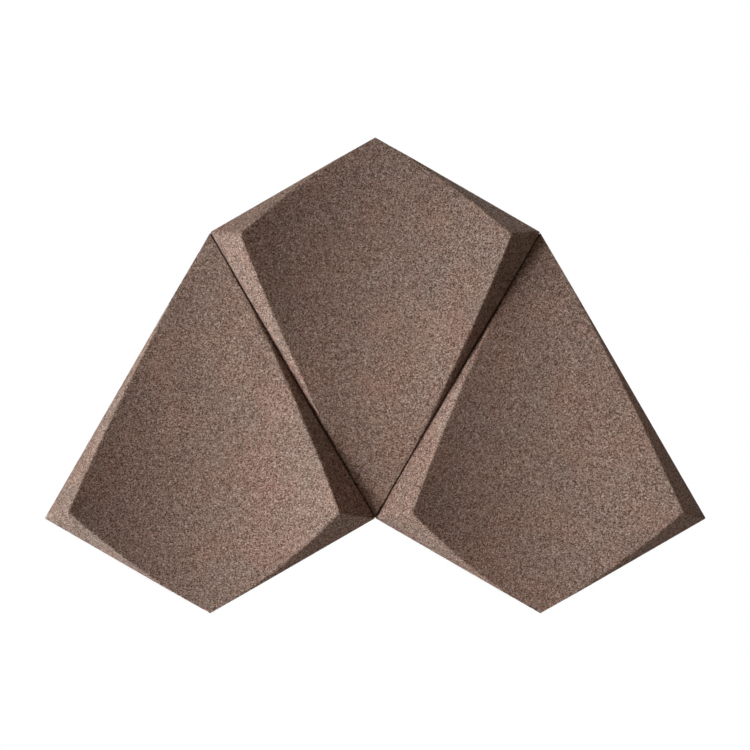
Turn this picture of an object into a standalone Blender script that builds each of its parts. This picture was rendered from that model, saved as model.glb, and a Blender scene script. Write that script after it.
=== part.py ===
"""Cork acoustic wall panel: three kite-shaped cork blocks on mounting tape squares.

The wall is the plane y = 0 and the panel's face looks along -Y, with +Z up.
The origin is on the wall, behind the centre of the middle block.
Every block is the same moulding: a kite with corners of 120, 90, 60 and 90 degrees,
an upright rim, sides that lean inward, and a front hollowed by one wide cylinder
whose axis runs along the kite and which dips below the rim at the kite's two ends.
Lengths are in metres.
"""

import math

import bmesh
import bpy
from mathutils import Matrix, Vector

# Driving dimensions of one block. Depths are measured out from its flat back
BLOCK_WIDTH = 0.328
RIM_DEPTH = 0.010
VALLEY_DEPTH = 0.008
RIDGE_DEPTH = 0.050
RIDGE_INSET = 0.025

# How the three blocks lie together
JOINT_GAP = 0.0003

# Double-sided mounting tape
TAPE_SIDE = 0.040
TAPE_THICKNESS = 0.002
TAPE_CORNER_RADIUS = 0.003
TAPE_REACH = 0.60
FIT_GAP = 0.0003

# Kite geometry: half angles of the upper and lower corners
APEX_HALF_ANGLE = math.radians(60.0)
TIP_HALF_ANGLE = math.radians(30.0)
HALF_WIDTH = BLOCK_WIDTH / 2
APEX_RISE = HALF_WIDTH / math.tan(APEX_HALF_ANGLE)
TIP_DROP = HALF_WIDTH / math.tan(TIP_HALF_ANGLE)
KITE_HEIGHT = APEX_RISE + TIP_DROP

# The circle that touches all four sides of the kite
SIDE_LENGTHS = math.hypot(HALF_WIDTH, APEX_RISE) + math.hypot(HALF_WIDTH, TIP_DROP)
INRADIUS = HALF_WIDTH * KITE_HEIGHT / SIDE_LENGTHS
INCENTRE_BELOW_APEX = INRADIUS / math.sin(APEX_HALF_ANGLE)

# The ridge corner lies on the bisector of the kite's 90 degree corner
CORNER_LEAN = (APEX_HALF_ANGLE - TIP_HALF_ANGLE) / 2
RIDGE_CORNER_X = HALF_WIDTH - RIDGE_INSET * math.sqrt(2) * math.cos(CORNER_LEAN)

# The cylinder that hollows the front touches the valley floor on the axis
# and passes through the two ridge corners
VALLEY_SAG = RIDGE_DEPTH - VALLEY_DEPTH
VALLEY_RADIUS = (RIDGE_CORNER_X**2 + VALLEY_SAG**2) / (2 * VALLEY_SAG)
VALLEY_SEGMENTS = 720

# The backs of the blocks stand off the wall on the tape
BACK_Y = -(TAPE_THICKNESS + FIT_GAP)

# Sides of a block before it is hollowed: they rise past the ridge and are cut off there
RIDGE_RISE = RIDGE_DEPTH - RIM_DEPTH
SIDE_SLOPE = RIDGE_INSET / RIDGE_RISE
CUT_ALLOWANCE = 0.004
UNCUT_RISE = RIDGE_RISE + CUT_ALLOWANCE

CORK_COLOUR = (0.150, 0.104, 0.083, 1.0)
TAPE_COLOUR = (0.62, 0.62, 0.60, 1.0)


def clear_scene():
    """Remove every object that a new file starts with."""
    for old in list(bpy.data.objects):
        bpy.data.objects.remove(old, do_unlink=True)


def new_collection(name):
    """Make a collection in the scene."""
    collection = bpy.data.collections.new(name)
    bpy.context.scene.collection.children.link(collection)
    return collection


def new_material(name, colour, roughness):
    """Make a plain, non-metallic Principled material."""
    material = bpy.data.materials.new(name)
    material.use_nodes = True
    shader = material.node_tree.nodes["Principled BSDF"]
    shader.inputs["Base Color"].default_value = colour
    shader.inputs["Roughness"].default_value = roughness
    shader.inputs["Metallic"].default_value = 0.0
    material.diffuse_color = colour
    return material


def outline_curve(name, points, thickness):
    """Make a flat outline from corner points and give it a thickness, centred on its plane."""
    curve = bpy.data.curves.new(name, "CURVE")
    curve.dimensions = "2D"
    curve.fill_mode = "BOTH"
    curve.extrude = thickness / 2
    spline = curve.splines.new("POLY")
    spline.points.add(len(points) - 1)
    for spline_point, (x, y) in zip(spline.points, points):
        spline_point.co = (x, y, 0.0, 1.0)
    spline.use_cyclic_u = True
    return bpy.data.objects.new(name, curve)


def mesh_from_curve(curve_object, collection, name):
    """Turn a curve object into a closed mesh object in the collection and remove the curve."""
    collection.objects.link(curve_object)
    bpy.context.view_layer.update()
    depsgraph = bpy.context.evaluated_depsgraph_get()
    mesh = bpy.data.meshes.new_from_object(curve_object.evaluated_get(depsgraph))
    mesh.name = name
    welded = bmesh.new()
    welded.from_mesh(mesh)
    bmesh.ops.remove_doubles(welded, verts=welded.verts, dist=0.00001)
    bmesh.ops.recalc_face_normals(welded, faces=welded.faces)
    welded.to_mesh(mesh)
    welded.free()
    curve = curve_object.data
    bpy.data.objects.remove(curve_object, do_unlink=True)
    bpy.data.curves.remove(curve)
    made = bpy.data.objects.new(name, mesh)
    collection.objects.link(made)
    return made


def kite_corners():
    """Corners of the kite about its incentre, 120 degree corner first, as (x, height)."""
    apex = INCENTRE_BELOW_APEX
    return [
        (0.0, apex),
        (-HALF_WIDTH, apex - APEX_RISE),
        (0.0, apex - KITE_HEIGHT),
        (HALF_WIDTH, apex - APEX_RISE),
    ]


def lean_the_sides(block):
    """Raise the front face of the rim slab, insetting it by the same amount on every side."""
    shaped = bmesh.new()
    shaped.from_mesh(block.data)
    shaped.faces.ensure_lookup_table()
    front = [face for face in shaped.faces if face.normal.z > 0.9]
    bmesh.ops.inset_region(
        shaped,
        faces=front,
        thickness=UNCUT_RISE * SIDE_SLOPE,
        depth=UNCUT_RISE,
        use_even_offset=True,
        use_boundary=True,
    )
    shaped.to_mesh(block.data)
    shaped.free()


def valley_cutter(collection):
    """Make the wide cylinder that hollows the front, lying along the kite's long axis."""
    shape = bmesh.new()
    bmesh.ops.create_cone(
        shape,
        cap_ends=True,
        segments=VALLEY_SEGMENTS,
        radius1=VALLEY_RADIUS,
        radius2=VALLEY_RADIUS,
        depth=KITE_HEIGHT * 1.5,
    )
    lie_down = Matrix.Rotation(math.radians(90.0), 4, "X")
    half_facet = Matrix.Rotation(math.pi / VALLEY_SEGMENTS, 4, "Z")
    lift = Matrix.Translation(Vector((0.0, 0.0, VALLEY_DEPTH + VALLEY_RADIUS)))
    bmesh.ops.transform(shape, matrix=lift @ lie_down @ half_facet, verts=shape.verts)
    mesh = bpy.data.meshes.new("valley_cutter")
    shape.to_mesh(mesh)
    shape.free()
    cutter = bpy.data.objects.new("valley_cutter", mesh)
    cutter.hide_render = True
    cutter.display_type = "WIRE"
    collection.objects.link(cutter)
    return cutter


def stand_up(turned):
    """Turn a shape that lies on its back so that it faces -Y, and half round if asked."""
    face_forward = Matrix.Rotation(math.radians(90.0), 4, "X")
    half_turn = Matrix.Rotation(math.pi if turned else 0.0, 4, "Y")
    return half_turn @ face_forward


def block_mesh(cutters):
    """Model the block on its back: x across, y along the kite, z out of the wall."""
    slab = outline_curve("kite_slab", kite_corners(), RIM_DEPTH)
    block = mesh_from_curve(slab, cutters, "kite_blank")
    block.data.transform(Matrix.Translation(Vector((0.0, 0.0, RIM_DEPTH / 2))))
    lean_the_sides(block)
    cutter = valley_cutter(cutters)
    hollow = block.modifiers.new("hollow", "BOOLEAN")
    hollow.operation = "DIFFERENCE"
    hollow.solver = "EXACT"
    hollow.object = cutter
    bpy.context.view_layer.update()
    depsgraph = bpy.context.evaluated_depsgraph_get()
    mesh = bpy.data.meshes.new_from_object(block.evaluated_get(depsgraph))
    mesh.name = "cork_block"
    bpy.data.objects.remove(block, do_unlink=True)
    return mesh


def add_block(name, mesh, place, turned, material, collection):
    """Place one block on its incentre and return its object."""
    own_mesh = mesh.copy()
    own_mesh.name = name
    own_mesh.transform(stand_up(turned))
    own_mesh.materials.clear()
    own_mesh.materials.append(material)
    own_mesh.shade_smooth()
    own_mesh.set_sharp_from_angle(angle=math.radians(20.0))
    block = bpy.data.objects.new(name, own_mesh)
    block.location = place
    collection.objects.link(block)
    return block


def tape_places(turned):
    """Places of a block's tape squares about its incentre, named as seen from the front.

    One lies at the centre and the others a share of the way to each corner.
    """
    corner_names = ["top", "left", "bottom", "right"]
    way = 1.0
    if turned:
        corner_names = ["bottom", "right", "top", "left"]
        way = -1.0
    places = {"centre": (0.0, 0.0)}
    for name, (x, height) in zip(corner_names, kite_corners()):
        places[name] = (way * x * TAPE_REACH, way * height * TAPE_REACH)
    return places


def add_tape(name, block, x, height, material, collection):
    """Add one square of tape with rounded corners behind a block, its outer face on the wall."""
    shape = bmesh.new()
    bmesh.ops.create_cube(shape, size=1.0)
    size = Vector((TAPE_SIDE, TAPE_THICKNESS, TAPE_SIDE))
    bmesh.ops.scale(shape, vec=size, verts=shape.verts)
    upright = [edge for edge in shape.edges if abs(edge.verts[0].co.y - edge.verts[1].co.y) > 0.001]
    bmesh.ops.bevel(
        shape,
        geom=upright,
        offset=TAPE_CORNER_RADIUS,
        offset_type="OFFSET",
        segments=5,
        profile=0.5,
        affect="EDGES",
    )
    mesh = bpy.data.meshes.new(name)
    shape.to_mesh(mesh)
    shape.free()
    mesh.materials.append(material)
    tape = bpy.data.objects.new(name, mesh)
    collection.objects.link(tape)
    tape.parent = block
    tape.location = (x, -TAPE_THICKNESS / 2 - block.location.y, height)
    return tape


def main():
    """Build the panel."""
    clear_scene()
    panel = new_collection("cork_acoustic_wall_panel")
    cutters = new_collection("cutters")
    cork = new_material("agglomerated_cork", CORK_COLOUR, 0.9)
    foam_tape = new_material("foam_tape", TAPE_COLOUR, 0.7)

    # A turned block meets the middle one side to side, a joint gap away at a right angle to the side
    gap_x = JOINT_GAP * math.cos(TIP_HALF_ANGLE)
    gap_z = JOINT_GAP * math.sin(TIP_HALF_ANGLE)
    corner_height = INCENTRE_BELOW_APEX - APEX_RISE
    turned_tip_above_centre = KITE_HEIGHT - INCENTRE_BELOW_APEX
    side_x = HALF_WIDTH + gap_x
    side_z = corner_height - gap_z - turned_tip_above_centre

    mesh = block_mesh(cutters)
    layout = [
        ("middle", Vector((0.0, BACK_Y, 0.0)), False),
        ("left", Vector((-side_x, BACK_Y, side_z)), True),
        ("right", Vector((side_x, BACK_Y, side_z)), True),
    ]
    for place_name, place, turned in layout:
        block = add_block(f"block_{place_name}", mesh, place, turned, cork, panel)
        for tape_name, (x, height) in tape_places(turned).items():
            add_tape(f"tape_{place_name}_{tape_name}", block, x, height, foam_tape, panel)
    bpy.data.meshes.remove(mesh)


main()
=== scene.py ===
# %% [markdown]
# # A cork acoustic wall panel
#
# The panel is three identical blocks of moulded cork, butted together on a wall.
# Each block is a kite with corners of 120, 90, 60 and 90 degrees. Its sides lean
# inward from a thin upright rim, and its front is one wide cylindrical hollow, so
# two ridges rise at the 90 degree corners and run out to nothing at the other two.
# Squares of double-sided foam tape behind each block hold it on the wall.
#
# The construction model has the sizes and places of all these pieces, and is loaded
# first as a fixed frame. This script gives them their looks: the granular surface of
# the cork, the worn roundness of its ridges, and the foam and film of the tape.

# %% Load the frame
import math
from itertools import product

import bpy
import numpy as np
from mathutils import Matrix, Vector


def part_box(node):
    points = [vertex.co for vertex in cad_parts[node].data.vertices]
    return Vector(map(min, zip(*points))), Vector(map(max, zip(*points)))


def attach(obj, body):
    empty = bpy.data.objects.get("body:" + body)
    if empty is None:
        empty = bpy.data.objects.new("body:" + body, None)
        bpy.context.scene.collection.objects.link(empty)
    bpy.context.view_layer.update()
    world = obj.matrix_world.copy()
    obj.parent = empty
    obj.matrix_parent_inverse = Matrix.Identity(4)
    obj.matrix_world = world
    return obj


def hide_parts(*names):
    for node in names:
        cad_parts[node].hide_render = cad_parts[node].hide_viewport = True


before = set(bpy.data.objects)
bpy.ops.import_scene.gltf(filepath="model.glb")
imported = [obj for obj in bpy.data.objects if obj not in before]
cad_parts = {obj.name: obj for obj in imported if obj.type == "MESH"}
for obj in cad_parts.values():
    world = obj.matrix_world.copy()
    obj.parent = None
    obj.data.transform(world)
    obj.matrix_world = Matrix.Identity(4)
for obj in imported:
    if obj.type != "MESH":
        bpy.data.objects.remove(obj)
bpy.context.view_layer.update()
MM = 0.001

# %% [markdown]
# ## The sizes of a block
#
# The outline is read from the frame, so the blocks always fit it. Any kite has a circle
# that touches its four sides. Measured from the middle of that circle, the distance from
# a point to a side is the circle's radius less how far the point lies along the side's
# outward direction. This one rule gives the leaning sides, the rim and the rounding of
# the corners.
#
# A block's box gives its width, height and depth. Only three sizes can't be read from
# it: the depth of the rim, the depth at the floor of the hollow, and how far the ridge
# is set in. They repeat the construction model's sizes.

# %% Sizes
block_low, block_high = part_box("block_middle")
HALF_WIDTH = (block_high.x - block_low.x) / 2
APEX = block_high.z
TIP = block_low.z
BACK_Y = block_high.y
RIDGE_DEPTH = block_high.y - block_low.y
RIM_DEPTH = 10.0 * MM
VALLEY_DEPTH = 8.0 * MM
RIDGE_INSET = 25.0 * MM

APEX_HALF_ANGLE = math.radians(60)
TIP_HALF_ANGLE = math.radians(30)
CORNER_Z = APEX - HALF_WIDTH / math.tan(APEX_HALF_ANGLE)
INRADIUS = APEX * math.sin(APEX_HALF_ANGLE)
SIDE_SLOPE = RIDGE_INSET / (RIDGE_DEPTH - RIM_DEPTH)

CORNER_LEAN = (APEX_HALF_ANGLE - TIP_HALF_ANGLE) / 2
RIDGE_CORNER_X = HALF_WIDTH - RIDGE_INSET * math.sqrt(2) * math.cos(CORNER_LEAN)
RIDGE_CORNER_Z = CORNER_Z - RIDGE_INSET * math.sqrt(2) * math.sin(CORNER_LEAN)
VALLEY_SAG = RIDGE_DEPTH - VALLEY_DEPTH
VALLEY_RADIUS = (RIDGE_CORNER_X**2 + VALLEY_SAG**2) / (2 * VALLEY_SAG)

print("inner circle, mm:", round(INRADIUS / MM, 2), " hollow radius, mm:", round(VALLEY_RADIUS / MM, 1))

# %% [markdown]
# ## The shape of the front
#
# The front is a height field: one depth, measured out from the flat back, for each
# point of the kite. It is the lower of two surfaces, the leaning sides and the hollow.
# A plain minimum would give knife-sharp ridges. Moulded cork sheds granules along an
# edge until it is round, so the two are joined by a smooth minimum, which leaves both
# surfaces alone away from the ridge and blends them across it.

# %% Front surface
HIP_BLEND = 3.0 * MM
RIDGE_BLEND = 2.0 * MM

# Outward directions of the sides: upper left, lower left, lower right, upper right
SIDE_DIRECTIONS = np.array([
    (-math.cos(APEX_HALF_ANGLE), math.sin(APEX_HALF_ANGLE)),
    (-math.cos(TIP_HALF_ANGLE), -math.sin(TIP_HALF_ANGLE)),
    (math.cos(TIP_HALF_ANGLE), -math.sin(TIP_HALF_ANGLE)),
    (math.cos(APEX_HALF_ANGLE), math.sin(APEX_HALF_ANGLE)),
])


def side_distances(x, z):
    """Distance to each side: the inner circle's radius less the way along the side's direction."""
    along = np.multiply.outer(SIDE_DIRECTIONS[:, 0], x) + np.multiply.outer(SIDE_DIRECTIONS[:, 1], z)
    return INRADIUS - along


def hollow_depth(x):
    """Depth of the hollow: its floor plus the rise of a circle's arc, r - sqrt(r^2 - x^2)."""
    return VALLEY_DEPTH + VALLEY_RADIUS - np.sqrt(VALLEY_RADIUS**2 - x**2)


def smooth_minimum(a, b, blend):
    """The lower of a and b, less a parabola's worth where they differ by less than the blend."""
    near = np.maximum(blend - np.abs(a - b), 0) / blend
    return np.minimum(a, b) - near**2 * blend / 4


def front_depth(x, z):
    """Depth of the front: the lower of the hollow and of the rim plus a side's distance over its slope."""
    upper_left, lower_left, lower_right, upper_right = side_distances(x, z)
    left = smooth_minimum(upper_left, lower_left, HIP_BLEND)
    right = smooth_minimum(upper_right, lower_right, HIP_BLEND)
    sides = RIM_DEPTH + np.minimum(left, right) / SIDE_SLOPE
    return smooth_minimum(sides, hollow_depth(x), RIDGE_BLEND)


ridge_corner_depth = front_depth(np.array(RIDGE_CORNER_X), np.array(RIDGE_CORNER_Z))
print("worn ridge corner, mm:", round(float(ridge_corner_depth) / MM, 2))

# %% [markdown]
# ## A grid on a kite
#
# A kite has four corners, so a square grid stretches over it: a point is a mix of the
# four corners, weighted by its two parameters. The grid lines then run along the sides,
# where the rim and the ridges are. The corners of the outline are rounded by pulling
# each point that lies beyond a corner's arc straight back towards the arc's centre.

# %% Plan of the kite
CORNER_RADIUS = 0.3 * MM

# The corners are top, left, tip and right, each with half its angle and the two sides that meet there
CORNERS = np.array([(0.0, APEX), (-HALF_WIDTH, CORNER_Z), (0.0, TIP), (HALF_WIDTH, CORNER_Z)])
HALF_ANGLES = (APEX_HALF_ANGLE, math.pi / 4, TIP_HALF_ANGLE, math.pi / 4)
CORNER_SIDES = ([3, 0], [0, 1], [1, 2], [2, 3])

# Least length to divide by
TINY = 1e-9


def kite_point(u, v, inset):
    """Mix of the corners, (1-u)(1-v) top, u(1-v) left, uv tip and (1-u)v right, drawn in by the inset."""
    weights = np.stack([(1 - u) * (1 - v), u * (1 - v), u * v, (1 - u) * v], axis=-1)
    return weights @ CORNERS * (1 - inset / INRADIUS)


def round_corners(plan):
    """Pull points past a corner's arc towards its centre, so that straight insets turn into arcs."""
    rounded = plan.copy()
    for corner, half_angle, sides in zip(CORNERS, HALF_ANGLES, CORNER_SIDES):
        outward = SIDE_DIRECTIONS[sides].sum(axis=0)
        inward = -outward / np.linalg.norm(outward)
        centre = corner + inward * CORNER_RADIUS / math.sin(half_angle)
        from_centre = rounded - centre
        reach = np.linalg.norm(from_centre, axis=-1)
        past = -(from_centre @ inward) > reach * math.sin(half_angle)
        depth = side_distances(rounded[..., 0], rounded[..., 1]).min(axis=0)
        wanted = np.maximum(CORNER_RADIUS - depth, 0)
        pull = np.where(past & (wanted > 0), wanted / np.maximum(reach, TINY), 1.0)
        rounded = centre + from_centre * pull[..., None]
    return rounded


print("corner arcs, mm:", CORNER_RADIUS / MM)

# %% [markdown]
# ## Granules
#
# Agglomerated cork is ground bark, sieved to one size and pressed with a binder. The
# pressed surface shows each granule as a flat-topped cell, with a crevice where it
# meets the next and a pit where one has fallen out. Cells of this kind are a Voronoi
# pattern: every point belongs to the nearest of a scatter of seeds. One seed is placed
# at random in each cube of a lattice, so a point's two nearest seeds are nearly always
# in its own cube or the 26 around it, and whole arrays of points can be handled at once.

# %% Random seeds
# Large odd numbers: a whole number times one of them spreads over all of its 32 bits
AXIS_FACTORS = np.array([73856093, 19349663, 83492791], np.uint32)
SEED_FACTOR = 2654435761
STEP_FACTOR, STEP_ADD, MIX_FACTOR = np.uint32(747796405), np.uint32(2891336453), np.uint32(277803737)


def scatter(cube, seed):
    """Three numbers from 0 to 1 for each cube, by mixing its whole-number corner until it looks random."""
    corner = cube.astype(np.int64).astype(np.uint32)
    mixed = np.bitwise_xor.reduce(corner * AXIS_FACTORS, axis=1)
    mixed = mixed ^ np.uint32(seed * SEED_FACTOR % 2**32)
    numbers = []
    for _ in range(3):
        mixed = mixed * STEP_FACTOR + STEP_ADD
        mixed = (mixed >> np.uint32(16) ^ mixed) * MIX_FACTOR
        numbers.append((mixed >> np.uint32(8)) / 2**24)
    return np.stack(numbers, axis=1)


print("numbers of the first cube:", scatter(np.zeros((1, 3)), seed=1).round(3).tolist())

# %% Granule cells
# Farther than any seed, in cells
FAR = 9.0

# The sum of three random numbers bunches round its middle. Seven times that, less the whole part, is
# spread almost evenly from 0 to 1
NUMBER_SPREAD = 7


def granule_cells(points, size, seed):
    """For each point: how far the two nearest seeds differ in distance, in cells, and its cell's number."""
    place = points / size
    cube = np.floor(place)
    nearest = np.full(len(points), FAR)
    second = np.full(len(points), FAR)
    number = np.zeros(len(points))
    for step in product((-1, 0, 1), repeat=3):
        neighbour = cube + step
        random = scatter(neighbour, seed)
        distance = np.linalg.norm(neighbour + random - place, axis=1)
        closer = distance < nearest
        second = np.where(closer, nearest, np.minimum(second, distance))
        number = np.where(closer, random.sum(axis=1) * NUMBER_SPREAD % 1, number)
        nearest = np.minimum(nearest, distance)
    return second - nearest, number


def smooth_step(low, high, value):
    """0 below low, 1 above high, and the cubic 3t^2 - 2t^3 between them."""
    t = np.clip((value - low) / (high - low), 0, 1)
    return t * t * (3 - 2 * t)


sample_points = np.random.default_rng(1).random((2000, 3))
sample_gap, _ = granule_cells(sample_points, size=0.024, seed=1)
print("mean step between nearest seeds, cells:", round(float(sample_gap.mean()), 2))

# %% [markdown]
# ## The mesh of a block
#
# A block is one closed skin. A fine grid covers the front, rows of points run round the
# rim, and a coarse grid closes the back, where nothing but flat cork is seen. Each
# grid's border is a loop that starts at the top corner and runs round by the left.
# The rim's front edge is a curve between the front's slope and the upright side: the
# quadratic curve with one guide point at the corner that a sharp rim would have.

# %% One closed skin
def border(n):
    """Grid steps (i, j) along the border, from the top corner round by the left."""
    step = np.arange(n)
    full = np.full(n, n)
    none = np.zeros(n, int)
    i = np.concatenate([step, full, n - step, none])
    j = np.concatenate([none, step, full, n - step])
    return i, j


def grid_quads(index):
    """Faces of a grid of points: each point, the next by i, the next by both, and the next by j."""
    return np.stack([index[:-1, :-1], index[1:, :-1], index[1:, 1:], index[:-1, 1:]], axis=-1)


def closed_mesh(name, front, rows, back):
    """Join a front grid, the loops of rim rows and a coarser back grid into one closed mesh.

    The last loop is finer than the back's border, so a fan of triangles spreads from each point
    of that border to the points of the loop beside it, and to the border's next point.
    """
    n = front.shape[0] - 1
    m = back.shape[0] - 1
    front_index = np.arange((n + 1) ** 2).reshape(n + 1, n + 1)
    row_index = (n + 1) ** 2 + np.arange(len(rows) * 4 * n).reshape(len(rows), 4 * n)
    back_index = (n + 1) ** 2 + len(rows) * 4 * n + np.arange((m + 1) ** 2).reshape(m + 1, m + 1)
    loops = np.vstack([front_index[border(n)], row_index])
    bands = np.stack([loops[:-1], loops[1:], np.roll(loops[1:], -1, 1), np.roll(loops[:-1], -1, 1)], axis=-1)
    back_quads = grid_quads(back_index)[..., [0, 3, 2, 1]]
    quads = np.concatenate([part.reshape(-1, 4) for part in (grid_quads(front_index), bands, back_quads)])

    coarse = back_index[border(m)]
    fine = np.roll(loops[-1], -1).reshape(4 * m, n // m)[:, ::-1]
    chain = np.column_stack([np.roll(coarse, -1), fine, loops[-1][:: n // m]])
    hub = np.repeat(coarse[:, None], chain.shape[1] - 1, axis=1)
    fans = np.stack([hub, chain[:, :-1], chain[:, 1:]], axis=-1).reshape(-1, 3)

    mesh = bpy.data.meshes.new(name)
    points = np.concatenate([front.reshape(-1, 3), *rows, back.reshape(-1, 3)])
    mesh.from_pydata(points, [], quads.tolist() + fans.tolist())
    mesh.update()
    return mesh


print("points along the border of a grid of 4 steps:", len(border(4)[0]))

# %% Rows of the rim
EDGE_RADIUS = 0.8 * MM
BACK_EDGE_RADIUS = 0.8 * MM
JOINT_GAP = 0.3 * MM
PRESS = 0.05 * MM
JOINT_FILL = JOINT_GAP / 2 + PRESS
JOINT_EASE = 0.4 * MM

# Shares of the way along the front edge, down the upright side with each row's push, and along the back edge
FILLET_STEPS = (0.35, 0.7, 1.0)
SIDE_ROWS = ((0.45, -JOINT_EASE), (0.52, JOINT_FILL), (0.8, JOINT_FILL))
BACK_STEPS = (0.0, 0.5, 1.0)


def quadratic(start, guide, end, t):
    """Point of the curve (1-t)^2 start + 2t(1-t) guide + t^2 end."""
    return (1 - t) ** 2 * start + 2 * t * (1 - t) * guide + t**2 * end


def rim_rows(u, v):
    """Inset, depth and push into the joint of each row round the rim, from the front edge to the back.

    The front edge is a quadratic curve, the side a straight mix of its two ends, and the back edge
    a curve that is r t^2 in from the side and r (1-t)^2 out of the back.
    """
    outline = round_corners(kite_point(u, v, 0.0))
    inner = round_corners(kite_point(u, v, EDGE_RADIUS))
    top = front_depth(outline[:, 0], outline[:, 1])
    start = front_depth(inner[:, 0], inner[:, 1])
    upper = top - EDGE_RADIUS
    rows = []
    for t in FILLET_STEPS:
        rows.append((EDGE_RADIUS * (1 - t) ** 2, quadratic(start, top, upper, t), -JOINT_EASE))
    for t, push in SIDE_ROWS:
        rows.append((0.0, upper + (BACK_EDGE_RADIUS - upper) * t, push))
    for t in BACK_STEPS:
        rows.append((BACK_EDGE_RADIUS * t**2, np.full_like(top, BACK_EDGE_RADIUS * (1 - t) ** 2), 0.0))
    return rows


print("rows round the rim:", len(FILLET_STEPS + SIDE_ROWS + BACK_STEPS))

# %% [markdown]
# ## From plan to block
#
# A block is worked out upright with the middle of its inner circle at the origin, then
# put in its place. The two outer blocks are the same moulding turned half round. Where
# two blocks are butted together their rims are pressed into each other by a hair, so no
# light comes through the joint: what shows is the dark groove between two round edges.
#
# Once the smooth skin exists, Blender works out its normals, and every point sinks along
# its normal by the depth of the granules there. Sinking, and never rising, keeps the
# grain inside the size that the construction model gives the panel.

# %% Skin of a block
# The front has a whole number of grid steps to each step of the back, as the fans between them need
GRID = 284
BACK_GRID = 71
BACK_MARGIN = 4.0 * MM
JOINT_TAPER = 1.0 * MM

# Share of the granules' relief that the rim takes, away from a joint
RIM_RELIEF = 0.5


def lift(plan, depth):
    """Upright point from a plan and a depth out of the back, which looks along +Y."""
    return np.stack([plan[..., 0], BACK_Y - depth, plan[..., 1]], axis=-1)


def joint_bulge(n, joint_sides):
    """For border points on a joint: their outward direction and a share, both 0 at the corners."""
    side = np.arange(4 * n) // n
    along = (np.arange(4 * n) % n) / n
    lengths = np.linalg.norm(np.roll(CORNERS, -1, 0) - CORNERS, axis=1)[side]
    from_corner = np.minimum(along, 1 - along) * lengths
    window = smooth_step(0.0, JOINT_TAPER, from_corner) * np.isin(side, joint_sides)
    return SIDE_DIRECTIONS[side] * window[:, None], window


def block_skin(name, joint_sides):
    """Smooth upright block, and the share of the granules' relief that each point takes.

    A point is a kite point lifted by a depth: the front's own, a rim row's, or 0 on the back.
    """
    step = np.linspace(0, 1, GRID + 1)
    u, v = np.meshgrid(step, step, indexing="ij")
    plan = round_corners(kite_point(u, v, EDGE_RADIUS))
    front = lift(plan, front_depth(plan[..., 0], plan[..., 1]))
    border_u, border_v = u[border(GRID)], v[border(GRID)]
    bulge, window = joint_bulge(GRID, joint_sides)
    rows = []
    shares = [np.ones((GRID + 1) ** 2)]
    for inset, depth, push in rim_rows(border_u, border_v):
        outline = round_corners(kite_point(border_u, border_v, inset))
        rows.append(lift(outline + bulge * push, depth))
        shares.append(RIM_RELIEF * (1 - window * (push > 0)))
    coarse = np.linspace(0, 1, BACK_GRID + 1)
    back_plan = kite_point(*np.meshgrid(coarse, coarse, indexing="ij"), BACK_MARGIN)
    back = lift(back_plan, np.zeros(back_plan.shape[:-1]))
    shares.append(np.zeros((BACK_GRID + 1) ** 2))

    mesh = closed_mesh(name, front, rows, back)
    materials = np.zeros(len(mesh.polygons), np.int32)
    materials[GRID**2 + len(rows) * 4 * GRID :] = 1
    mesh.polygons.foreach_set("material_index", materials)
    return mesh, np.concatenate(shares)


print("points on the front of a block:", (GRID + 1) ** 2)

# %% Relief of the granules
COARSE_GRANULE = 1.9 * MM
GRANULE_STEP = 0.09 * MM
CREVICE_DEPTH = 0.09 * MM
CHIP_GRANULE = 3.2 * MM
CHIP_DEPTH = 0.8 * MM
CHIPPED_SHARE = 0.35

# Widths of a crevice and of a chip's slope, in cells
CREVICE_WIDTH = 0.16
CHIP_SLOPE = 0.25

# How far from the ridge edges are worn and the grain opens, as a difference of sides and hollow in depth
WEAR_REACH = 2.6 * MM
OPEN_REACH = 1.5 * MM


def granule_relief(points):
    """How far the surface sinks, a step times each granule's number squared plus the crevices' depth.

    The second value is the crevices alone, 1 between two granules and 0 on their tops.
    """
    gap, number = granule_cells(points, COARSE_GRANULE, seed=3)
    crevice = 1 - smooth_step(0.0, CREVICE_WIDTH, gap)
    return GRANULE_STEP * number**2 + CREVICE_DEPTH * crevice, crevice


def chip_relief(points, wear):
    """How far worn edges sink: by a whole granule where one in three has broken away."""
    gap, number = granule_cells(points, CHIP_GRANULE, seed=11)
    gone = number < CHIPPED_SHARE
    return CHIP_DEPTH * wear * gone * smooth_step(0.0, CHIP_SLOPE, gap)


def sides_above_hollow(x, z):
    """Depth of the leaning sides less that of the hollow: above 0 in the hollow, below 0 on the sides."""
    sides = RIM_DEPTH + side_distances(x, z).min(axis=0) / SIDE_SLOPE
    return sides - hollow_depth(x)


print("coarse granules, mm:", COARSE_GRANULE / MM)


# %% Sinking the surface
def read_points(values, name, kind):
    """Blender's own list of vectors as an array of rows."""
    flat = np.empty(len(values) * 3, kind)
    values.foreach_get(name, flat)
    return flat.reshape(-1, 3)


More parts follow.
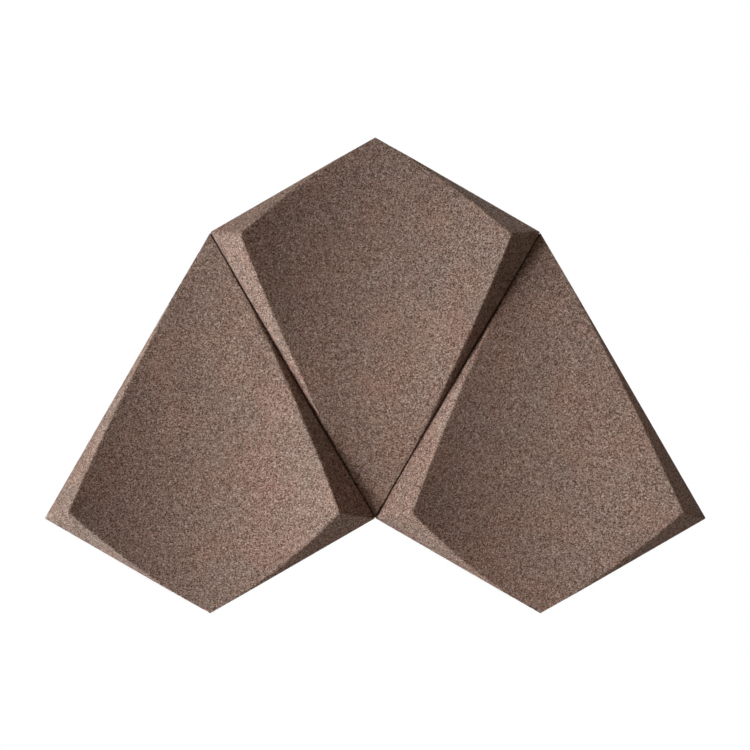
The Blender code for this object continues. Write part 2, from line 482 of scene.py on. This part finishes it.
def sink_surface(mesh, shares, centre, turned):
    """Put an upright block in its place, and move each point back along its normal by the relief there."""
    points = read_points(mesh.vertices, "co", np.float64)
    normals = read_points(mesh.vertex_normals, "vector", np.float32)
    above = sides_above_hollow(points[:, 0], points[:, 2])
    on_front = shares == 1
    wear = (1 - smooth_step(0.0, WEAR_REACH, np.abs(above))) * on_front
    open_grain = smooth_step(-OPEN_REACH, OPEN_REACH, above) * on_front
    if turned:
        points[:, [0, 2]] *= -1
        normals[:, [0, 2]] *= -1
    points += centre
    relief, crevice = granule_relief(points)
    sink = relief * shares + chip_relief(points, wear)
    mesh.vertices.foreach_set("co", (points - normals * sink[:, None]).ravel())
    # The crevice attribute also gives the painted shade that darkens the colour in the coarse relief's
    # crevices
    for attribute, values in (("crevice", crevice * (shares > 0)), ("open_grain", open_grain)):
        data = mesh.attributes.new(attribute, "FLOAT", "POINT").data
        data.foreach_set("value", values.astype(np.float32))
    print(mesh.name, " sinks by up to, mm:", round(float(sink.max()) / MM, 2))


# %% Blocks
def triangle_count(piece):
    """Triangles of a mesh, two fewer than the corners of each face."""
    return sum(len(face.vertices) - 2 for face in piece.data.polygons)


def make_block(name, node, centre, turned, joint_sides):
    """One block: its skin, put in place and sunk. Its joint sides are named as they lie before the turn."""
    mesh, shares = block_skin(name, joint_sides)
    sink_surface(mesh, shares, centre, turned)
    mesh.shade_smooth()
    mesh.update()
    block = bpy.data.objects.new(name, mesh)
    bpy.context.scene.collection.objects.link(block)
    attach(block, "root")
    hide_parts(node)
    print(name, " points:", len(mesh.vertices), " triangles:", triangle_count(block))
    return block


left_low, left_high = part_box("block_left")
right_low, right_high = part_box("block_right")
left_centre = np.array([(left_low.x + left_high.x) / 2, 0, left_low.z + APEX])
right_centre = np.array([(right_low.x + right_high.x) / 2, 0, right_low.z + APEX])
LOWER_LEFT, LOWER_RIGHT = 1, 2
blocks = [
    make_block("cork_block_middle", "block_middle", np.zeros(3), False, [LOWER_LEFT, LOWER_RIGHT]),
    make_block("cork_block_left", "block_left", left_centre, True, [LOWER_LEFT]),
    make_block("cork_block_right", "block_right", right_centre, True, [LOWER_RIGHT]),
]

# %% [markdown]
# ## Mounting tape
#
# Each square is a slab of soft closed-cell foam between two films of adhesive. A punch
# cuts it, so its corners are round. Pressed to the wall, the foam bellies out a little
# between the films, whose edges stay sharp. The outline is a square grid with its steps
# closer together towards the border, and each point in a corner's square is drawn onto
# an arc. The rows round it follow the films and the belly.

# %% Shape of a tape square
TAPE_GRID = 36
TAPE_CORNER_RADIUS = 3.0 * MM
FILM = 0.12 * MM
FILM_EDGE = 0.1 * MM
FILM_WAVE = 0.05 * MM
FILM_PATCH = 6.0 * MM
FOAM_STEP = 0.35 * MM
FOAM_BELLY = 0.30 * MM
BELLY_SHARES = (0.25, 0.5, 0.75)
SHARP_ANGLE = math.radians(35)

# Of the bands of faces between the rows, those from under one film to under the other are foam
FOAM_BANDS = slice(2, 8)


def square_point(u, v, half):
    """Point of a round-cornered square: max(|x|, |z|) from a corner arc's centre becomes the distance."""
    plan = np.stack([(2 * v - 1) * half, (1 - 2 * u) * half], axis=-1)
    flat = half - TAPE_CORNER_RADIUS
    from_centre = plan - np.clip(plan, -flat, flat)
    reach = np.linalg.norm(from_centre, axis=-1)
    wanted = np.abs(from_centre).max(axis=-1)
    pull = np.where(reach > 0, wanted / np.maximum(reach, TINY), 1.0)
    return plan - from_centre * (1 - pull[..., None])


def tape_sheet(box, u, v, inset, way):
    """Points of a square that fills a node's box, drawn in by the inset and set that way behind a block."""
    low, high = box
    half = (high.x - low.x) / 2
    middle = np.array([(low.x + high.x) / 2, (low.z + high.z) / 2])
    plan = square_point(u, v, half) * (1 - inset / half) + middle
    return np.stack([plan[..., 0], np.full(plan.shape[:-1], BACK_Y + way), plan[..., 1]], axis=-1)


def tape_profile(thick):
    """Inset and way back of each row: a film, foam that bulges by a sine's half wave, and the other film."""
    profile = [(0.0, 0.0), (0.0, FILM), (FOAM_STEP, FILM)]
    for share in BELLY_SHARES:
        belly = FOAM_BELLY * math.sin(math.pi * share)
        profile.append((FOAM_STEP - belly, FILM + (thick - 2 * FILM) * share))
    return profile + [(FOAM_STEP, thick - FILM), (0.0, thick - FILM), (0.0, thick)]


print("bands of foam between the films:", FOAM_BANDS.stop - FOAM_BANDS.start)

# %% Tape squares
def make_tape(node):
    """Foam slab with a film on each face, from the wall to the back of its block."""
    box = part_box(node)
    thick = box[1].y - BACK_Y
    step = 0.5 - 0.5 * np.cos(np.linspace(0, math.pi, TAPE_GRID + 1))
    u, v = np.meshgrid(step, step, indexing="ij")
    border_u, border_v = u[border(TAPE_GRID)], v[border(TAPE_GRID)]
    front = tape_sheet(box, u, v, FILM_EDGE, 0.0)
    rows = [tape_sheet(box, border_u, border_v, inset, way) for inset, way in tape_profile(thick)]
    back = tape_sheet(box, u, v, FILM_EDGE, thick)
    patch_gap, _ = granule_cells(back.reshape(-1, 3), FILM_PATCH, seed=23)
    back[..., 1] -= FILM_WAVE * patch_gap.reshape(back.shape[:-1])
    mesh = closed_mesh("mounting_" + node, front, rows, back)

    materials = np.ones(len(mesh.polygons), np.int32)
    bands = materials[TAPE_GRID**2 :][: len(rows) * 4 * TAPE_GRID].reshape(len(rows), -1)
    bands[FOAM_BANDS] = 0
    mesh.polygons.foreach_set("material_index", materials)
    mesh.shade_smooth()
    mesh.set_sharp_from_angle(angle=SHARP_ANGLE)
    tape = bpy.data.objects.new("mounting_" + node, mesh)
    bpy.context.scene.collection.objects.link(tape)
    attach(tape, "root")
    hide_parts(node)
    return tape


tape_nodes = [f"tape_{block}_{place}" for block in ("middle", "left", "right")
              for place in ("centre", "top", "bottom", "left", "right")]
tapes = [make_tape(node) for node in tape_nodes]
print("tape squares:", len(tapes), " triangles in each:", triangle_count(tapes[0]))

# %% [markdown]
# ## Helpers for materials
#
# Colours are written as they look on a screen, and one function turns them into the
# linear light that the renderer counts in. One small function adds a node with its
# settings, its values and its links, so that each material below reads as a recipe.
# A sum takes its values in order, because all the inputs of a Math node have one name.

# %% Material helpers
VORONOI, NOISE, ATTRIBUTE = "ShaderNodeTexVoronoi", "ShaderNodeTexNoise", "ShaderNodeAttribute"
MATH, MAP_RANGE, MIX, BUMP = "ShaderNodeMath", "ShaderNodeMapRange", "ShaderNodeMix", "ShaderNodeBump"
COLOUR = {"data_type": "RGBA"}


def linear(colour):
    """Screen colour such as #7d675e as linear red, green, blue and alpha, by the sRGB curve."""
    shares = [int(colour[i : i + 2], 16) / 255 for i in (1, 3, 5)]
    return [s / 12.92 if s <= 0.04045 else ((s + 0.055) / 1.055) ** 2.4 for s in shares] + [1.0]


def add_node(tree, kind, settings=None, *values, **named):
    """Add a node, set it, and fill its inputs in order or by name. Gives its outputs by name.

    A value that is another node's socket becomes a link. Only inputs that the settings leave in use count.
    """
    node = tree.nodes.new(kind)
    for name, value in (settings or {}).items():
        setattr(node, name, value)
    in_use = [s for s in node.inputs if s.enabled]
    by_name = {s.name.replace(" ", "_"): s for s in reversed(in_use)}
    fills = list(zip(in_use, values)) + [(by_name[name], value) for name, value in named.items()]
    for target, value in fills:
        if isinstance(value, bpy.types.NodeSocket):
            tree.links.new(value, target)
        else:
            target.default_value = value
    return {s.name: s for s in node.outputs if s.enabled}


def new_material(name, **values):
    """A material with a Principled shader, with these values on its sockets."""
    material = bpy.data.materials.new(name)
    material.use_nodes = True
    shader = material.node_tree.nodes["Principled BSDF"]
    for socket, value in values.items():
        shader.inputs[socket.replace("_", " ")].default_value = value
    return material, material.node_tree, shader


print("middle grey in linear light:", round(linear("#808080")[0], 3))

# %% [markdown]
# ## Cork
#
# Moulded agglomerated cork, dyed taupe through and through. Cork granules are dull and
# slightly waxy, so the finish is nearly matte. To the eye it is a fine salt and pepper:
# each granule is a slightly different brown and a few are pale or almost black. The
# crevices between them are darkened in the colour, a painted shade where the crevice's
# shadow falls. In the hollow the grain stands open. The leaning sides slid along the
# mould as the block was pushed out, so their crevices are partly rubbed shut, with a
# shallower bump and less painted shade, and the granules' own tones stand out more instead.
#
# The granules are sieved to about 1 mm. The pattern is a Voronoi texture in the
# object's own coordinates, which here are real metres, so its scale is one over the
# granule size. The same cells give the colour, the painted shade in the crevices and the
# bump. The front is pressed against a mould, and the back is sanded flat, which cuts the
# granules through and leaves them paler, with shallow crevices and less painted shade.

# %% Colour of the cork
SIDE_TONES = 1.2
SPECK = 1.2 * MM
SPECK_FADE = 0.01
TINT_PATCH = 45 * MM
PINKER, GREYER = (1.12, 0.97, 0.93, 1), (0.90, 1.03, 1.05, 1)
TINT = {"data_type": "RGBA", "blend_type": "MULTIPLY"}
SUBTRACT, MULTIPLY, MULTIPLY_ADD = ({"operation": way} for way in ("SUBTRACT", "MULTIPLY", "MULTIPLY_ADD"))

# Each kind of speck: the random channel that picks it, its tone, its share of the cells and its strength
SPECKS = (("Red", "#cbbbb0", 0.06, 0.55), ("Green", "#2a1a14", 0.07, 0.6))


def cork_colour(tree, where, number, open_grain, tones):
    """Mix of two tones by 0.5 + (number - 0.5) contrast, with specks over it, times a slow drift of tint."""
    contrast = add_node(tree, MAP_RANGE, Value=open_grain, To_Min=SIDE_TONES, To_Max=1.0)["Result"]
    from_middle = add_node(tree, MATH, SUBTRACT, number["Red"], 0.5)["Value"]
    tone = add_node(tree, MATH, MULTIPLY_ADD, from_middle, contrast, 0.5)["Value"]
    colour = add_node(tree, MIX, COLOUR, tone, linear(tones[0]), linear(tones[1]))["Result"]

    specks = add_node(tree, VORONOI, Vector=where, Scale=1 / SPECK)
    speck_number = add_node(tree, "ShaderNodeSeparateColor", Color=specks["Color"])
    for channel, speck_tone, share, strength in SPECKS:
        chosen = add_node(tree, MAP_RANGE, Value=speck_number[channel],
                          From_Min=1 - share - SPECK_FADE, From_Max=1 - share, To_Max=strength)["Result"]
        shown = add_node(tree, MATH, MULTIPLY, chosen, contrast)["Value"]
        colour = add_node(tree, MIX, COLOUR, shown, colour, linear(speck_tone))["Result"]

    patch = add_node(tree, NOISE, Vector=where, Scale=1 / TINT_PATCH, Detail=2.0)["Fac"]
    tint = add_node(tree, MIX, COLOUR, patch, PINKER, GREYER)["Result"]
    return add_node(tree, MIX, TINT, 1.0, colour, tint)["Result"]


print("share of pale and dark specks:", round(sum(share for _, _, share, _ in SPECKS), 2))

# %% Shade and bump of the cork
GRAIN = 0.35 * MM
DARK_GRAIN, PALE_GRAIN = 0.86, 1.14
# Colour's share at the bottom of a crevice in the coarse relief: a painted shade
RELIEF_PAINTED_SHADE = 0.94
GRIT = 0.9 * MM
GRIT_HEIGHT = 0.30 * MM
BUMP_HEIGHT = 0.30 * MM
LOWEST_GRANULE = 0.35


def cork_shade(tree, where, tops, crevices, painted_crevice_shade):
    """What scales the colour: fine grain, times a painted shade in the crevices off the tops, times a painted
    shade in the relief's crevices.
    """
    grain = add_node(tree, NOISE, Vector=where, Scale=1 / GRAIN, Detail=1.0)["Fac"]
    fine_shade = add_node(tree, MAP_RANGE, Value=grain, To_Min=DARK_GRAIN, To_Max=PALE_GRAIN)["Result"]
    # Painted shade: the colour darkens towards each crevice between the granules, where the crevice's shadow
    # falls
    deepest = add_node(tree, MAP_RANGE, Value=crevices, To_Min=1.0, To_Max=painted_crevice_shade)["Result"]
    crevice_shade = add_node(tree, MAP_RANGE, Value=tops, To_Min=deepest, To_Max=1.0)["Result"]
    # Painted shade: the colour darkens in the crevices of the mesh's coarse relief, where their shadow falls
    relief = add_node(tree, ATTRIBUTE, {"attribute_name": "crevice"})["Fac"]
    relief_shade = add_node(tree, MAP_RANGE, Value=relief, To_Min=1.0, To_Max=RELIEF_PAINTED_SHADE)["Result"]
    shade = add_node(tree, MATH, MULTIPLY, fine_shade, crevice_shade)["Value"]
    return add_node(tree, MATH, MULTIPLY, shade, relief_shade)["Value"]


def cork_height(tree, where, tops, number, crevices):
    """Height for the bump: flat tops, some lower than others, plus a noise about as coarse as they are."""
    uneven = add_node(tree, MAP_RANGE, Value=number["Blue"], To_Min=LOWEST_GRANULE, To_Max=1.0)["Result"]
    domes = add_node(tree, MATH, MULTIPLY, tops, uneven)["Value"]
    grit = add_node(tree, NOISE, Vector=where, Scale=1 / GRIT, Detail=1.0)["Fac"]
    surface = add_node(tree, MATH, MULTIPLY_ADD, grit, GRIT_HEIGHT / BUMP_HEIGHT, domes)["Value"]
    return add_node(tree, MATH, MULTIPLY, surface, crevices)["Value"]


print("height of the bump, mm:", round(BUMP_HEIGHT / MM, 2))

# %% Cork
FINE_GRANULE = 0.85 * MM
FINE_CREVICE = 0.22
SIDE_CREVICES = 0.7
TO_EDGE = {"feature": "DISTANCE_TO_EDGE"}
SMOOTH = {"interpolation_type": "SMOOTHSTEP"}


def cork_material(name, bump_height, painted_crevice_shade, tones):
    """Granules as Voronoi cells: each cell's number gives its tone, and its edge the crevice, with its
    painted shade, and the bump.
    """
    material, tree, shader = new_material(name, Roughness=0.85, IOR=1.45, Specular_IOR_Level=0.2)
    where = add_node(tree, "ShaderNodeTexCoord")["Object"]
    open_grain = add_node(tree, ATTRIBUTE, {"attribute_name": "open_grain"})["Fac"]
    # On the sides the crevices are shallower, both in the bump and in the painted shade
    crevices = add_node(tree, MAP_RANGE, Value=open_grain, To_Min=SIDE_CREVICES, To_Max=1.0)["Result"]
    cells = add_node(tree, VORONOI, Vector=where, Scale=1 / FINE_GRANULE)
    number = add_node(tree, "ShaderNodeSeparateColor", Color=cells["Color"])
    edges = add_node(tree, VORONOI, TO_EDGE, Vector=where, Scale=1 / FINE_GRANULE)
    tops = add_node(tree, MAP_RANGE, SMOOTH, Value=edges["Distance"], From_Max=FINE_CREVICE)["Result"]

    colour = cork_colour(tree, where, number, open_grain, tones)
    shade = cork_shade(tree, where, tops, crevices, painted_crevice_shade)
    shaded = add_node(tree, "ShaderNodeVectorMath", {"operation": "SCALE"}, Vector=colour, Scale=shade)
    tree.links.new(shaded["Vector"], shader.inputs["Base Color"])
    height = cork_height(tree, where, tops, number, crevices)
    bump = add_node(tree, BUMP, Height=height, Distance=bump_height)["Normal"]
    tree.links.new(bump, shader.inputs["Normal"])
    return material


# The crevice value of each cork is its painted shade at the bottom of a crevice, darker on the moulded front
# than on the sanded back
moulded_cork = cork_material("moulded_taupe_cork", bump_height=BUMP_HEIGHT, painted_crevice_shade=0.62,
                             tones=("#4b2e20", "#b29586"))
sanded_cork = cork_material("sanded_taupe_cork", bump_height=BUMP_HEIGHT / 5, painted_crevice_shade=0.85,
                            tones=("#56402f", "#b8a092"))
for block in blocks:
    block.data.materials.append(moulded_cork)
    block.data.materials.append(sanded_cork)
print("cork granules, mm:", FINE_GRANULE / MM)

# %% [markdown]
# ## Foam and adhesive
#
# The tape's core is white polyethylene foam, cut through at the edge, so that its closed
# cells show as fine dimples, with a painted shade that makes them a little greyer where
# they are deep. It is dull. The film on each face is acrylic adhesive on its carrier:
# yellower, satin, so it shows a broad soft shine, and cloudy, because the adhesive is
# thicker in some places than in others.

# %% Foam
FOAM_CELL = 0.3 * MM
DIMPLE_DEPTH = 0.08 * MM


def foam_material():
    """Dull white, with the distance from each cell's middle as its height and as a painted shade, greyer in
    the deep middle.
    """
    material, tree, shader = new_material("white_closed_cell_foam", Roughness=0.75, IOR=1.5)
    where = add_node(tree, "ShaderNodeTexCoord")["Object"]
    cells = add_node(tree, VORONOI, Vector=where, Scale=1 / FOAM_CELL)["Distance"]
    # Painted shade: grey at the middle of each cell, where the dimple is deepest, and paler towards its rim
    tone = add_node(tree, MIX, COLOUR, cells, linear("#cfcec9"), linear("#e6e5e0"))["Result"]
    dimples = add_node(tree, BUMP, Height=cells, Distance=DIMPLE_DEPTH)["Normal"]
    tree.links.new(tone, shader.inputs["Base Color"])
    tree.links.new(dimples, shader.inputs["Normal"])
    return material


print("foam cells, mm:", round(FOAM_CELL / MM, 2))

# %% Adhesive
ADHESIVE_RIPPLE = 2.5 * MM
RIPPLE_HEIGHT = 0.06 * MM
ADHESIVE_CLOUD = 9.0 * MM
THIN_CLOUD, THICK_CLOUD = 0.35, 0.65


def adhesive_material():
    """Satin off-white, with soft ripples, and a noise that mixes a thin and a thick tone."""
    material, tree, shader = new_material("acrylic_adhesive_film", Roughness=0.32, IOR=1.48)
    where = add_node(tree, "ShaderNodeTexCoord")["Object"]
    ripple = add_node(tree, NOISE, Vector=where, Scale=1 / ADHESIVE_RIPPLE, Detail=2.0)["Fac"]
    cloud = add_node(tree, NOISE, Vector=where, Scale=1 / ADHESIVE_CLOUD, Detail=4.0)["Fac"]
    thickness = add_node(tree, MAP_RANGE, Value=cloud, From_Min=THIN_CLOUD, From_Max=THICK_CLOUD)["Result"]
    tone = add_node(tree, MIX, COLOUR, thickness, linear("#d9d6ca"), linear("#c8c3b2"))["Result"]
    ripples = add_node(tree, BUMP, Height=ripple, Distance=RIPPLE_HEIGHT)["Normal"]
    tree.links.new(tone, shader.inputs["Base Color"])
    tree.links.new(ripples, shader.inputs["Normal"])
    return material


foam = foam_material()
adhesive = adhesive_material()
for tape in tapes:
    tape.data.materials.append(foam)
    tape.data.materials.append(adhesive)
print("materials:", len(bpy.data.materials))

# %% [markdown]
# ## Floor and background
#
# The panel hangs in front of plain white. A pale floor lies below the picture, so that
# views from other sides have a ground. The world is white only where the camera, a
# reflection or a clear material looks at it. To the object it gives a faint warm light,
# as the walls of a room do, because the shaded sides are warmer than the bright ones.

# %% Floor
FLOOR_Z = -0.85
FLOOR_HALF_WIDTH = 1.6
FLOOR_FRONT, FLOOR_BACK = -1.5, 0.9
floor_corners = [
    (-FLOOR_HALF_WIDTH, FLOOR_FRONT, FLOOR_Z),
    (FLOOR_HALF_WIDTH, FLOOR_FRONT, FLOOR_Z),
    (FLOOR_HALF_WIDTH, FLOOR_BACK, FLOOR_Z),
    (-FLOOR_HALF_WIDTH, FLOOR_BACK, FLOOR_Z),
]
floor_mesh = bpy.data.meshes.new("studio_floor")
floor_mesh.from_pydata(floor_corners, [], [(0, 1, 2, 3)])
floor = bpy.data.objects.new("studio_floor", floor_mesh)
bpy.context.scene.collection.objects.link(floor)
floor_paint, _, _ = new_material("pale_floor_paint", Base_Color=linear("#c8c7c4"), Roughness=0.8, IOR=1.45)
floor_mesh.materials.append(floor_paint)
print("floor at, mm:", FLOOR_Z / MM)

# %% World
AMBIENT = 0.16
ROOM_LIGHT = [AMBIENT * share for share in linear("#ffe5c6")[:3]] + [1.0]
WHITE = (1, 1, 1, 1)
MAXIMUM = {"operation": "MAXIMUM"}
scene = bpy.context.scene
scene.world = bpy.data.worlds.new("white_surround")
scene.world.use_nodes = True
world_tree = scene.world.node_tree
rays = add_node(world_tree, "ShaderNodeLightPath")
seen = rays["Is Camera Ray"]
for kind in ("Is Glossy Ray", "Is Transmission Ray"):
    seen = add_node(world_tree, MATH, MAXIMUM, seen, rays[kind])["Value"]
surround = add_node(world_tree, MIX, COLOUR, seen, ROOM_LIGHT, WHITE)["Result"]
world_tree.links.new(surround, world_tree.nodes["Background"].inputs["Color"])
print("light from all round, of white:", AMBIENT)

# %% [markdown]
# ## Lights
#
# The bright sides of the blocks all face left, and the hollows are shaded on their left
# halves, so the main light is a large soft one at the left, set a little low. Each block
# is brightest at one height and fades above and below it, as under a lamp with a grid on
# it: that is the gridded light, with a narrow spread. A weak one above keeps the upper
# sides from going dark, and one more stands behind for the back. Each direction is an
# angle off the panel's own facing and an angle round it from +X.

# %% Lights
PANEL_MIDDLE = Vector((0.02, -0.02, -0.125))
POOL_MIDDLE = Vector((-0.05, -0.02, -0.18))
LIGHT_DISTANCE = 2.5


def softbox(name, off_axis, round_axis, width, watts, colour, spread=180, aim=PANEL_MIDDLE):
    """Round area light that faces the panel, (sin a cos b, -cos a, sin a sin b) away from it."""
    off, around = math.radians(off_axis), math.radians(round_axis)
    way = Vector((math.sin(off) * math.cos(around), -math.cos(off), math.sin(off) * math.sin(around)))
    data = bpy.data.lights.new(name, "AREA")
    data.shape = "DISK"
    data.size = width
    data.energy = watts
    data.color = linear(colour)[:3]
    data.spread = math.radians(spread)
    light = bpy.data.objects.new(name, data)
    light.location = aim + way * LIGHT_DISTANCE
    light.rotation_euler = way.to_track_quat("Z", "Y").to_euler()
    scene.collection.objects.link(light)
    return light


softbox("key_light", off_axis=75, round_axis=200, width=1.6, watts=88, colour="#def5ff")
softbox("gridded_light", off_axis=45, round_axis=180, width=0.8, watts=2.15, colour="#f7fbff",
        spread=20, aim=POOL_MIDDLE)
softbox("upper_light", off_axis=75, round_axis=90, width=0.8, watts=5.5, colour="#f2f6ff")
softbox("back_light", off_axis=150, round_axis=60, width=1.4, watts=60, colour="#f4faff")

# %% [markdown]
# ## Camera
#
# The photograph looks straight at the wall, so its upright and level lines stay true.
# The ridge corners and the rims shift against each other by the depth between them,
# which gives the distance, about a metre for a 50 mm lens. The point that the camera
# looks straight at isn't the picture's centre, which a shifted lens reproduces.

# %% Camera
CAMERA_PLACE = Vector((-0.01688, -1.0459, -0.15085))
LENS_SHIFT_X, LENS_SHIFT_Y = 0.02232, 0.0711
camera_data = bpy.data.cameras.new("camera")
camera_data.lens = 50
camera_data.sensor_width = 36
camera_data.shift_x = LENS_SHIFT_X
camera_data.shift_y = LENS_SHIFT_Y
camera = bpy.data.objects.new("camera", camera_data)
camera.location = CAMERA_PLACE
camera.rotation_euler = (math.radians(90), 0, 0)
scene.collection.objects.link(camera)
scene.camera = camera
scene.view_settings.view_transform = "Standard"
print("camera distance, mm:", round(-CAMERA_PLACE.y / MM))
